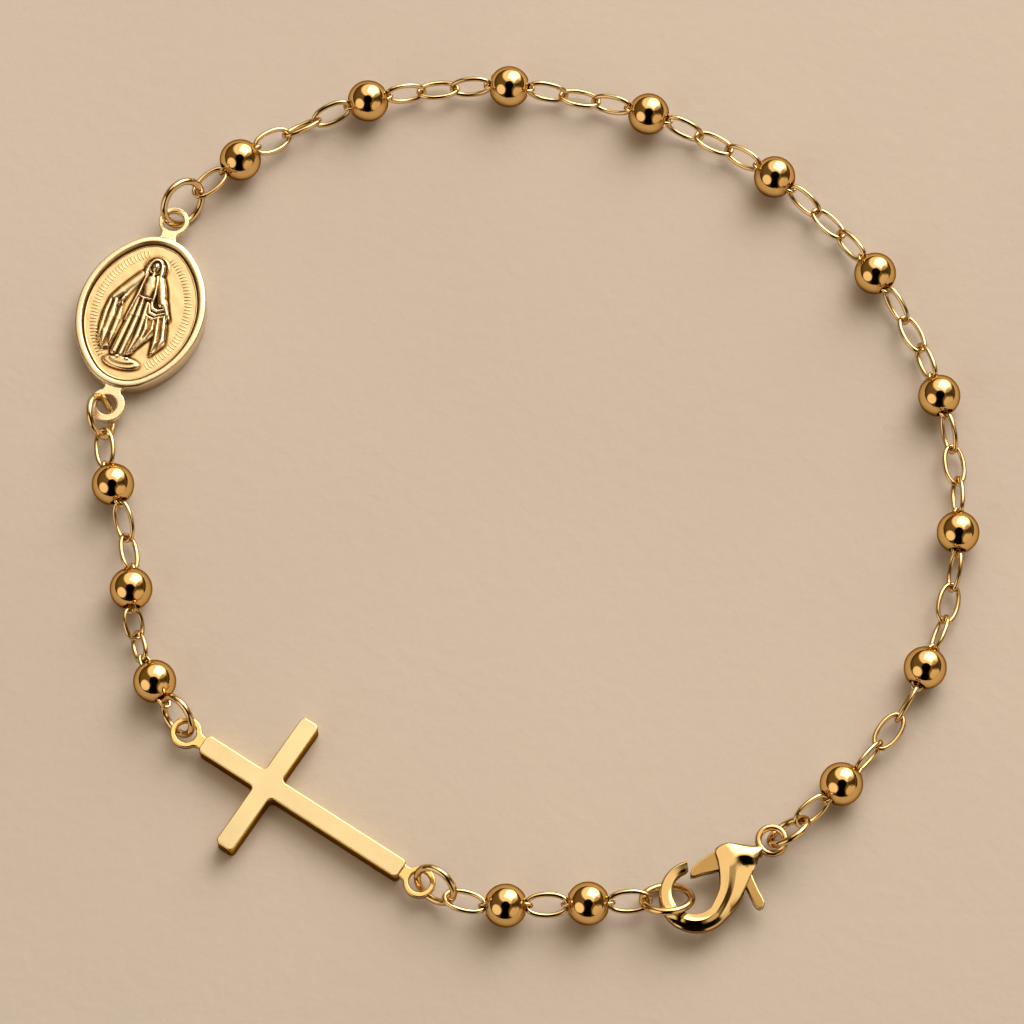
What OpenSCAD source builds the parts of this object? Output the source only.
// Rosary bracelet laid flat in a closed loop: one decade of ten round beads, five more beads
// beside the clasp, the cross and the medal, all joined by fine oval links.
// Sizes are in millimetres. The floor is z = 0 and the origin is under the middle of the loop.

/* [Beads] */
// Diameter of a round bead
bead_d = 3.1; // [2.8:0.1:3.4]
// Diameter of the hole drilled through a bead
bead_bore = 1.4; // [1.36:0.02:1.5]

/* [Chain links] */
// Outer length of an oval link
link_l = 3.3; // [3.2:0.05:3.9]
// Outer length of the two short links between the two beads nearest the head of the cross
short_link_l = 2.7; // [2.6:0.05:3.2]
// Outer width of an oval link
link_w = 1.85; // [1.8:0.05:2.2]
// Wire of an oval link
link_wire = 0.32; // [0.26:0.02:0.34]
// Outer length of the slim link that runs through a bead
core_l = 3.9; // [3.85:0.05:4.1]
// Outer width of the slim link
core_w = 1.16; // [1.14:0.01:1.18]
// Outer length of the slim link that a jump ring passes through without a link between
long_core_l = 4.6; // [4.5:0.05:4.7]
// Wire of the slim link
core_wire = 0.24; // [0.22:0.01:0.25]
// Height of the links where they sag between two beads
sag_z = 1.05; // [0.95:0.05:1.4]
// Clear gap left between two pieces that hook into each other
play = 0.13; // [0.12:0.01:0.15]

/* [Jump rings] */
// Outer diameter of the four small jump rings
ring_d = 3.5; // [3.3:0.1:3.8]
// Wire of the small jump rings
ring_wire = 0.46; // [0.38:0.02:0.46]
// Outer diameter of the two large jump rings
big_ring_d = 4.0; // [3.8:0.1:4.2]
// Wire of the large jump rings
big_ring_wire = 0.48; // [0.42:0.02:0.48]

/* [Medal] */
// Length of the oval medal without its eyes
medal_l = 12.4; // [11:0.1:14]
// Width of the oval medal
medal_w = 9.5; // [8.6:0.1:10]
// Thickness of the medal at its rim
medal_t = 1.5; // [1.4:0.1:1.8]
// Width of the raised rim
rim_w = 0.65; // [0.5:0.05:0.8]
// Depth of the field below the rim
field_depth = 0.3; // [0.2:0.05:0.4]
// Height of the cast figure above the field
relief_h = 0.34; // [0.2:0.02:0.5]
// Number of short marks round the field
tick_count = 64; // [40:2:80]

/* [Cross] */
// Length of the long bar
cross_l = 17.1; // [15:0.1:18]
// Length of the cross bar
cross_w = 11.1; // [9:0.1:12]
// Width of both bars
arm_w = 1.4; // [1.2:0.1:1.8]
// Thickness of both bars
cross_t = 1.6; // [1.5:0.1:2]
// Distance from the upper end of the long bar to the middle of the cross bar
cross_head = 5.6; // [4.6:0.1:6]
// Width of the bevel round the face
cross_bevel = 0.14; // [0.08:0.02:0.2]

/* [Eyes] */
// Hole in the flat eyes of the medal and the cross
eye_bore = 1.5; // [1.5:0.02:1.6]
// Width of metal round that hole
eye_band = 0.4; // [0.36:0.02:0.46]
// Thickness of those eyes
eye_t = 0.5; // [0.4:0.05:0.6]
// Depth of the eyes' upper face below the face of the medal or the cross
eye_drop = 0.2; // [0.1:0.05:0.25]
// Length of the neck between an eye and the edge of its piece
eye_neck = 0.34; // [0.3:0.02:0.6]

/* [Clasp] */
// Thickness of the clasp body at its middle
clasp_t = 1.4; // [1.2:0.05:1.4]
// Radius of the domes over both faces of the body
dome_r = 9; // [8:0.5:20]
// Outer radius of the hook
hook_r = 2.63; // [2.5:0.01:2.7]
// Width of the hook's bar at its far end
hook_bar = 1.1; // [1.05:0.01:1.15]
// Radius of the round part of the mouth
mouth_r = 1.58; // [1.5:0.01:1.6]
// Distance from the middle of the end loop to the middle of the hook
hook_x = 6.8; // [6.7:0.05:7]
// Hole in the end loop
loop_bore = 1.46; // [1.4:0.02:1.5]
// Width of metal round that hole
loop_band = 0.4; // [0.36:0.02:0.44]
// Thickness of the end loop
loop_t = 0.56; // [0.5:0.02:0.6]
// Thickness of the lever
lever_t = 0.56; // [0.5:0.02:0.6]
// Diameter of the lever's pin
pin_d = 0.5; // [0.4:0.05:0.6]
// Gap round the pin in the lever
pin_fit = 0.03; // [0.02:0.01:0.06]
// Gap on each side of the lever in its slot
lever_fit = 0.06; // [0.05:0.01:0.08]

/* [Hidden] */
$fn = 48;

gold = "#dcae5c";
pale_gold = "#e6c27c";

// How the loop lies, piece by piece and clockwise from the medal. The columns are the piece,
// its direction in degrees, its roll about that direction, the chord that its two neighbours
// span as a share of its own length, and the rolls of the links that follow it.
LOOP = [
    ["medal", 75, 0, 1, []],
    ["big_ring", 54, 62, 0.94, [-10]],
    ["bead", 40, -82, 1, [23, -52, 53]],
    ["bead", 20, -22, 1, [66, -20, 64]],
    ["bead", -2, -25, 1, [64, -22, 66]],
    ["bead", -18, -20, 1, [68, -20, 64]],
    ["bead", -37, -24, 1, [64, -24, 66]],
    ["bead", -56, -20, 1, [68, -20, 64]],
    ["bead", -76, -24, 1, [66, -18, 68]],
    ["bead", -96, -22, 1, [64, -22, 66]],
    ["bead", -118, -20, 1, [80, 0, -78]],
    ["bead", -139, 26, 1, [-48]],
    ["ring", -147, 58, 0.94, []],
    ["clasp", -147, 0, 1, []],
    ["big_ring", -178, 44, 1, [-36]],
    ["bead", -180, 66, 1, [-12]],
    ["bead", -182, 90, 1, [14]],
    ["ring", -211, -62, 0.94, []],
    ["cross", -214.5, 0, 1, []],
    ["ring", -234, -66, 0.975, []],
    ["long_bead", -243, 28, 1, [-56, 38]],
    ["bead", -266, -48, 1, [46, -40]],
    ["bead", -250, 54, 1, [-32]],
    ["ring", -273, 60, 0.94, []]
];

// Eyes of the medal and the cross
eye_r = eye_bore / 2 + eye_band;
medal_eye_z = medal_t - eye_drop - eye_t / 2;
cross_eye_z = cross_t - eye_drop - eye_t / 2;
medal_reach = medal_l + 2 * (eye_neck + eye_r);
cross_reach = cross_l + 2 * (eye_neck + eye_r);
// How far the wire of a jump ring lies inside the middle of an eye
eye_slack = 0.15;

// The clasp is held off the floor by the jump ring that passes under its hook
clasp_mid_z = bead_d / 2 - 0.05;
hook_y = -0.45;
mouth = [hook_x + hook_r - hook_bar - mouth_r, hook_y - 0.27];
// Direction across the hook's bar where the jump ring sits, and how far in its wire lies
seat_turn = -40;
seat_r = hook_r - hook_bar / 2 - (big_ring_d - big_ring_wire) / 2;
seat = [hook_x + seat_r * cos(seat_turn), hook_y + seat_r * sin(seat_turn)];
loop_r = loop_bore / 2 + loop_band;
pivot = [3, -1.1];

function last(list) = list[len(list) - 1];
function plus_to(list) = [for (i = 0, s = 0; i < len(list); s = s + list[i], i = i + 1) s + list[i]];

// Every piece of the loop in order: what it is, direction, roll, chord share, row of LOOP
function next_heading(k) = k + 1 < len(LOOP) ? LOOP[k + 1][1] : LOOP[0][1] - 360;
function link_kind(before) = before == "long_bead" ? "short_link" : "link";
PIECES = [for (k = [0:len(LOOP) - 1]) let (row = LOOP[k], count = len(row[4]))
    each concat(
        [[row[0], row[1], row[2], row[3], k]],
        [for (j = [0:1:count - 1])
            let (turn = (next_heading(k) - row[1]) * (j + 1) / (count + 1))
                [link_kind(row[0]), row[1] + turn, row[4][j], 1, k]]
    )];
PIECE_COUNT = len(PIECES);
function kind(i) = PIECES[(i + PIECE_COUNT) % PIECE_COUNT][0];
function is_ring(name) = name == "ring" || name == "big_ring";
function is_bead(name) = name == "bead" || name == "long_bead";
function is_link(name) = name == "link" || name == "short_link";

// Wire of a piece, and 0 for one that has a flat eye
function wire(name) = is_link(name) ? link_wire
    : is_bead(name) ? core_wire
    : name == "ring" ? ring_wire
    : name == "big_ring" ? big_ring_wire
    : 0;

// Distance between the two places where the neighbours of a piece pull on it
function reach(name) = name == "link" ? link_l - link_wire
    : name == "short_link" ? short_link_l - link_wire
    : name == "bead" ? core_l - core_wire
    : name == "long_bead" ? long_core_l - core_wire
    : name == "ring" ? ring_d - ring_wire
    : name == "big_ring" ? big_ring_d - big_ring_wire
    : name == "medal" ? medal_reach
    : name == "cross" ? cross_reach
    : norm(seat);

// How far two neighbours reach past each other where they hook together
function lap(a, b) = a == "clasp" ? 0
    : wire(a) == 0 || wire(b) == 0 ? eye_slack
    : (wire(a) + wire(b)) / 2 + play * (is_ring(a) || is_ring(b) ? 1.4 : 1);
function lap_after(i) = lap(kind(i), kind(i + 1));

// Height of the joint between two neighbours
function joint_z(a, b) = a == "medal" || b == "medal" ? medal_eye_z
    : a == "cross" || b == "cross" ? cross_eye_z
    : a == "clasp" || b == "clasp" ? clasp_mid_z
    : is_link(a) && is_link(b) ? sag_z
    : bead_d / 2;
function z_after(i) = joint_z(kind(i), kind(i + 1));

function span(i) = reach(kind(i)) * PIECES[i][3];
LENGTH = [for (i = [0:PIECE_COUNT - 1]) span(i) - (lap_after(i - 1) + lap_after(i)) / 2];
RISE = [for (i = [0:PIECE_COUNT - 1]) z_after(i) - z_after(i - 1)];
RUN = [for (i = [0:PIECE_COUNT - 1]) sqrt(pow(LENGTH[i], 2) - pow(RISE[i], 2))];

// The directions bend a little, all together, until the last piece meets the first
function bent(h, bend) = h + bend[0] * sin(h) + bend[1] * cos(h);
function sum(list) = last(plus_to(list));
function closing_gap(bend) = [
    sum([for (i = [0:PIECE_COUNT - 1]) RUN[i] * cos(bent(PIECES[i][1], bend))]),
    sum([for (i = [0:PIECE_COUNT - 1]) RUN[i] * sin(bent(PIECES[i][1], bend))])];
function closed(bend, steps) = steps == 0 ? bend
    : let (
        nudge = 0.01,
        gap = closing_gap(bend),
        ga = (closing_gap(bend + [nudge, 0]) - gap) / nudge,
        gb = (closing_gap(bend + [0, nudge]) - gap) / nudge,
        det = ga[0] * gb[1] - ga[1] * gb[0]
    )
    closed(bend - [gap[0] * gb[1] - gap[1] * gb[0], ga[0] * gap[1] - ga[1] * gap[0]] / det, steps - 1);
BEND = closed([0, 0], 6);
HEADING = [for (i = [0:PIECE_COUNT - 1]) bent(PIECES[i][1], BEND)];
EAST = plus_to([for (i = [0:PIECE_COUNT - 1]) RUN[i] * cos(HEADING[i])]);
NORTH = plus_to([for (i = [0:PIECE_COUNT - 1]) RUN[i] * sin(HEADING[i])]);

// Middle of a piece, before the loop is centred on the origin
function raw_middle(i) = let (share = (span(i) - lap_after(i - 1)) / 2 / LENGTH[i])
    [EAST[i] - RUN[i] * cos(HEADING[i]) * (1 - share),
        NORTH[i] - RUN[i] * sin(HEADING[i]) * (1 - share),
        z_after(i) - RISE[i] * (1 - share)];

function first_of(name) = search([name], [for (p = PIECES) p[0]])[0];
MEDAL = first_of("medal");
CROSS = first_of("cross");
CLASP = first_of("clasp");
BEADS = [for (i = [0:PIECE_COUNT - 1]) if (is_bead(kind(i))) i];
RINGS = [for (i = [0:PIECE_COUNT - 1]) if (is_ring(kind(i))) i];

// Outline of the loop from above: beads, oval medal, four ends of the cross, round hook
function turned(v, a) = [v[0] * cos(a) - v[1] * sin(a), v[0] * sin(a) + v[1] * cos(a)];
function flat(v) = [v[0], v[1]];
function at(i, v) = flat(raw_middle(i)) + turned(v, HEADING[i]);
cross_mid_x = cross_l / 2 - cross_head;
CLASP_TURN = -atan2(seat[1], seat[0]);
CLASP_START = [-norm(seat) / 2, 0];
ROUNDS = concat(
    [for (i = BEADS) [flat(raw_middle(i)), [bead_d, bead_d] / 2]],
    [[flat(raw_middle(MEDAL)), [norm([medal_l * cos(HEADING[MEDAL]), medal_w * sin(HEADING[MEDAL])]),
        norm([medal_l * sin(HEADING[MEDAL]), medal_w * cos(HEADING[MEDAL])])] / 2]],
    [for (v = [[-cross_l / 2, 0], [cross_l / 2, 0], [cross_mid_x, cross_w / 2], [cross_mid_x, -cross_w / 2]])
        [at(CROSS, v), [arm_w, arm_w] / 2]],
    [[at(CLASP, CLASP_START + turned([hook_x, hook_y], CLASP_TURN)), [hook_r, hook_r]]]);
low = [for (k = [0, 1]) min([for (r = ROUNDS) r[0][k] - r[1][k]])];
high = [for (k = [0, 1]) max([for (r = ROUNDS) r[0][k] + r[1][k]])];
CENTRE = (low + high) / 2;

// Puts a shape, drawn along X about its own middle, where piece i lies
module lay(i) {
    middle = raw_middle(i);
    pitch = asin(RISE[i] / LENGTH[i]);
    translate([middle[0] - CENTRE[0], middle[1] - CENTRE[1], middle[2]])
        rotate([PIECES[i][2], -pitch, HEADING[i]])
            children();
}

// Oval of round wire: two half rings joined by two straight sides
module oval_link(length, width, wire_d) {
    end_r = (width - wire_d) / 2;
    straight = length - width;
    for (flip = [0, 180]) rotate([0, 0, flip]) {
        translate([straight / 2, 0, 0]) rotate([0, 0, -90])
            rotate_extrude(angle = 180) translate([end_r, 0]) circle(d = wire_d);
        translate([-straight / 2, end_r, 0]) rotate([0, 90, 0]) cylinder(d = wire_d, h = straight);
    }
}

module chain_link(i) {
    lay(i) oval_link(reach(kind(i)) + link_wire, link_w, link_wire);
}

module bead_core(i) {
    lay(i) oval_link(reach(kind(i)) + core_wire, core_w, core_wire);
}

// All the links that belong to rows first_row to last_row of LOOP, with the slim ones in the beads
module chain(first_row, last_row) {
    color(gold)
        for (i = [0:PIECE_COUNT - 1])
            if (PIECES[i][4] >= first_row && PIECES[i][4] <= last_row) {
                if (is_link(kind(i))) chain_link(i);
                if (is_bead(kind(i))) bead_core(i);
            }
}

module bead(k) {
    i = BEADS[k - 1];
    color(gold) lay(i) rotate([0, 90, 0]) rotate_extrude() intersection() {
        circle(d = bead_d);
        translate([bead_bore / 2, -bead_d / 2]) square(bead_d);
    }
}

// A jump ring: its two neighbours pull on the ends of a chord, and the rest rises to one side
module jump_ring(k) {
    i = RINGS[k];
    ring_r = reach(kind(i)) / 2;
    side = PIECES[i][2] > 0 ? 1 : -1;
    color(gold) lay(i)
        translate([0, side * sqrt(pow(ring_r, 2) - pow(span(i) / 2, 2)), 0])
            rotate_extrude() translate([ring_r, 0]) circle(d = wire(kind(i)));
}

// Flat eye on a short neck at the end of a piece that reaches to x = edge
module eye(edge, mid_z) {
    hole_x = edge + eye_neck + eye_r;
    root = eye_r + eye_neck + rim_w;
    translate([0, 0, mid_z - eye_t / 2]) linear_extrude(eye_t) {
        translate([hole_x, 0]) circle(eye_r);
        polygon([[hole_x - root, -eye_r], [edge - eye_neck * 0.2, -eye_r * 0.9],
            [hole_x - eye_r * 0.8, -eye_r * 0.56], [hole_x - eye_r * 0.8, eye_r * 0.56],
            [edge - eye_neck * 0.2, eye_r * 0.9], [hole_x - root, eye_r]]);
    }
}

module eye_holes(edge) {
    for (side = [-1, 1]) translate([side * (edge + eye_neck + eye_r), 0, -1]) cylinder(d = eye_bore, h = 5);
}

module oval(length, width) {
    a = length / 2;
    b = width / 2;
    end_r = b * 0.72;
    side_r = (pow(a - end_r, 2) + b * b - end_r * end_r) / (2 * (b - end_r));
    intersection() {
        translate([0, side_r - b]) circle(side_r, $fn = 200);
        translate([0, b - side_r]) circle(side_r, $fn = 200);
        square([length, width * 2], center = true);
        union() {
            for (side = [-1, 1]) translate([side * (a - end_r), 0]) circle(end_r, $fn = 120);
            square([2 * (a - end_r) + 2 * end_r * cos(atan2(side_r - b, a - end_r)), width], center = true);
        }
    }
}

// The medal lies face up, with its top towards +X and its figure standing along the long axis
module medal() {
    field_z = medal_t - field_depth;
    color(pale_gold) lay(MEDAL) translate([0, 0, -medal_eye_z]) difference() {
        union() {
            difference() {
                linear_extrude(medal_t) oval(medal_l, medal_w);
                translate([0, 0, field_z]) linear_extrude(1) oval(medal_l - 2 * rim_w, medal_w - 2 * rim_w);
            }
            for (flip = [0, 180]) rotate([0, 0, flip]) eye(medal_l / 2, medal_eye_z);
            translate([0, 0, field_z]) {
                figure();
                tick_ring();
            }
        }
        eye_holes(medal_l / 2);
    }
}

// Short radial marks inside the rim, with gaps at the figure's head and feet
module tick_ring() {
    a = medal_l / 2 - rim_w - 0.62;
    b = medal_w / 2 - rim_w - 0.62;
    for (k = [0:tick_count - 1]) {
        turn = 360 * (k + 0.5) / tick_count;
        if (abs(cos(turn)) < 0.93)
            translate([a * cos(turn), b * sin(turn), -0.05])
                rotate([0, 0, atan2(sin(turn) / b, cos(turn) / a)])
                    translate([-0.26, -0.07, 0]) cube([0.52, 0.14, 0.15]);
    }
}

// Robed figure with open arms, built from a few raised layers. Its feet stand towards -X.
module figure() {
    u = (medal_l - 2 * rim_w) / 100;
    // Mantle that hangs from the head and both arms
    linear_extrude(relief_h * 0.55) scale_points(u, [[34, 0], [30, 7], [19, 12], [8, 20], [-6, 25], [-22, 24],
        [-34, 20], [-20, 15], [-8, 12], [-34, 9], [-36, 0], [-34, -9], [-8, -12], [-20, -15],
        [-34, -20], [-22, -24], [-6, -25], [8, -20], [19, -12], [30, -7]]);
    // Robe
    linear_extrude(relief_h * 0.85) scale_points(u, [[22, 3], [17, 7], [4, 6], [-12, 8], [-36, 10], [-38, 0],
        [-36, -10], [-12, -8], [4, -6], [17, -7], [22, -3]]);
    // Folds down the robe
    for (fold = [-2:2])
        rotate([0, 0, 180 + fold * 2.2]) translate([0, fold * u * 2.1, relief_h * 0.8])
            rotate([0, 90, 0]) cylinder(r = u * 1.1, h = u * 35);
    // Forearms and open hands
    for (side = [-1, 1]) {
        translate([15 * u, side * 8 * u, relief_h * 0.5]) rotate([0, 90, side * 129])
            cylinder(r = u * 2.6, h = u * 16);
        translate([4.5 * u, side * 21 * u, relief_h * 0.45]) sphere(u * 2.8);
    }
    // Head, with a plain halo round it
    translate([29 * u, 0, relief_h * 0.5]) sphere(u * 5.2);
    difference() {
        translate([29 * u, 0, 0]) cylinder(r = u * 10.5, h = relief_h * 0.35);
        translate([29 * u, 0, relief_h * 0.15]) cylinder(r = u * 9.4, h = relief_h);
    }
    // Round base under the feet
    linear_extrude(relief_h * 0.7) translate([-39 * u, 0]) intersection() {
        circle(u * 13);
        translate([-9 * u, 0]) square([18 * u, 30 * u], center = true);
    }
}

module scale_points(unit, points) {
    polygon([for (p = points) p * unit]);
}

// Long bar with bevelled upper edges, drawn along X from one end to the other
module bevelled_bar(from, to, bar_w) {
    s = cross_bevel;
    translate([from, 0, 0]) rotate([90, 0, 90]) linear_extrude(to - from)
        polygon([[-bar_w / 2, 0], [bar_w / 2, 0], [bar_w / 2, cross_t - s], [bar_w / 2 - s, cross_t],
            [-bar_w / 2 + s, cross_t], [-bar_w / 2, cross_t - s]]);
}

module cross_ends(from, to, bar_w) {
    end_r = bar_w * 0.28;
    translate([0, 0, -1]) linear_extrude(cross_t + 2) {
        translate([from + end_r, -bar_w]) square([to - from - 2 * end_r, 2 * bar_w]);
        translate([from, -bar_w / 2 + end_r]) square([to - from, bar_w - 2 * end_r]);
        for (x = [from + end_r, to - end_r]) for (y = [-1, 1])
            translate([x, y * (bar_w / 2 - end_r)]) circle(end_r);
    }
}

// The cross lies face up, with its head towards +X
module cross() {
    color(pale_gold) lay(CROSS) translate([0, 0, -cross_eye_z]) difference() {
        union() {
            intersection() {
                bevelled_bar(-cross_l / 2, cross_l / 2, arm_w);
                cross_ends(-cross_l / 2, cross_l / 2, arm_w);
            }
            translate([cross_mid_x, 0, 0]) rotate([0, 0, 90]) intersection() {
                bevelled_bar(-cross_w / 2, cross_w / 2, arm_w);
                cross_ends(-cross_w / 2, cross_w / 2, arm_w);
            }
            for (flip = [0, 180]) rotate([0, 0, flip]) eye(cross_l / 2, cross_eye_z);
        }
        eye_holes(cross_l / 2);
    }
}

// The clasp's own frame: middle of the end loop at the origin, hook towards +X
module lay_clasp() {
    lay(CLASP) translate([CLASP_START[0], 0, 0]) rotate([0, 0, CLASP_TURN]) children();
}

// Outline of the clasp body from above, without its end loop
module clasp_outline() {
    difference() {
        union() {
            translate([hook_x, hook_y]) circle(hook_r, $fn = 96);
            polygon([[0.95, 0.25], [1.8, 0.6], [2.95, 1.2], [4.4, 1.85], [6.1, hook_y + hook_r - 0.1],
                [hook_x, hook_y], [3.7, -2.12], [2.6, -1.95], [1.85, -1.2], [0.95, -0.3]]);
        }
        translate(mouth) circle(mouth_r, $fn = 96);
        // The mouth narrows towards the body and opens beside the tip of the hook
        polygon([[6.3, 0.79], [5.3, 0.28], [4.5, -0.55], [3.95, -1.4], [3.7, -2.12], [3.7, -3.2],
            [5.2, -3.4], [5.67, -2.76], [6.05, -2.3], mouth]);
    }
}

// Room for the lever between the two cheeks of the body, over its whole swing
module lever_slot() {
    slot_t = lever_t + 2 * lever_fit;
    translate([0, 0, -slot_t / 2]) linear_extrude(slot_t)
        polygon([[2.1, -3], [2.1, -1.3], [1.75, -0.6], [1.3, 0.6], [1.1, 3], [4.5, 3], [4.3, 1.2],
            [4.7, 0.5], [5.4, 0.75], [6.2, -1], [4, -3]]);
}

module clasp_body() {
    color(gold) lay_clasp() {
        difference() {
            union() {
                // Two wide domes round the faces off towards the edges
                intersection() {
                    translate([0, 0, -clasp_t / 2]) linear_extrude(clasp_t) clasp_outline();
                    intersection_for (side = [-1, 1]) translate([-1, hook_y, side * (dome_r - clasp_t / 2)])
                        rotate([0, 90, 0]) cylinder(r = dome_r, h = 14, $fn = 200);
                }
                translate([0, 0, -loop_t / 2]) linear_extrude(loop_t) {
                    circle(loop_r);
                    translate([0, -0.3]) square([1.4, 0.6]);
                }
            }
            translate([0, 0, -2]) cylinder(d = loop_bore, h = 4);
            lever_slot();
        }
        translate([pivot[0], pivot[1], -clasp_t / 2 + 0.15]) cylinder(d = pin_d, h = clasp_t - 0.3);
    }
}

// Lever with a round head on the pin, a gate that shuts the mouth and a thumb tab behind
module clasp_lever() {
    color(gold) lay_clasp() translate([0, 0, -lever_t / 2]) difference() {
        linear_extrude(lever_t) {
            translate(pivot) circle(0.72);
            polygon([[2.8, -1.6], [4, -2.12], [5.55, -2.2], [6.05, -1.95], [6.18, -1.72], [5.4, -1.33],
                [4.8, -1], [4, -0.6], [3.5, 0], [3.6, 1], [3.95, 2.1], [4.15, 2.85], [4.05, 3.25],
                [3.75, 3.28], [3.46, 3.1], [3.2, 2.25], [2.9, 1.3], [2.45, 0], [2.35, -0.95]]);
        }
        translate([pivot[0], pivot[1], -1]) cylinder(d = pin_d + 2 * pin_fit, h = 3);
    }
}

medal();
cross();
clasp_body();
clasp_lever();
jump_ring(0);  // medal_top_ring
jump_ring(1);  // clasp_ring
jump_ring(2);  // hook_ring
jump_ring(3);  // cross_bottom_ring
jump_ring(4);  // cross_top_ring
jump_ring(5);  // medal_bottom_ring
chain(1, 6);  // decade_chain_a
chain(7, 11);  // decade_chain_b
chain(14, 16);  // front_chain
chain(20, 22);  // side_chain
bead(1);  // bead_01
bead(2);  // bead_02
bead(3);  // bead_03
bead(4);  // bead_04
bead(5);  // bead_05
bead(6);  // bead_06
bead(7);  // bead_07
bead(8);  // bead_08
bead(9);  // bead_09
bead(10);  // bead_10
bead(11);  // bead_11
bead(12);  // bead_12
bead(13);  // bead_13
bead(14);  // bead_14
bead(15);  // bead_15
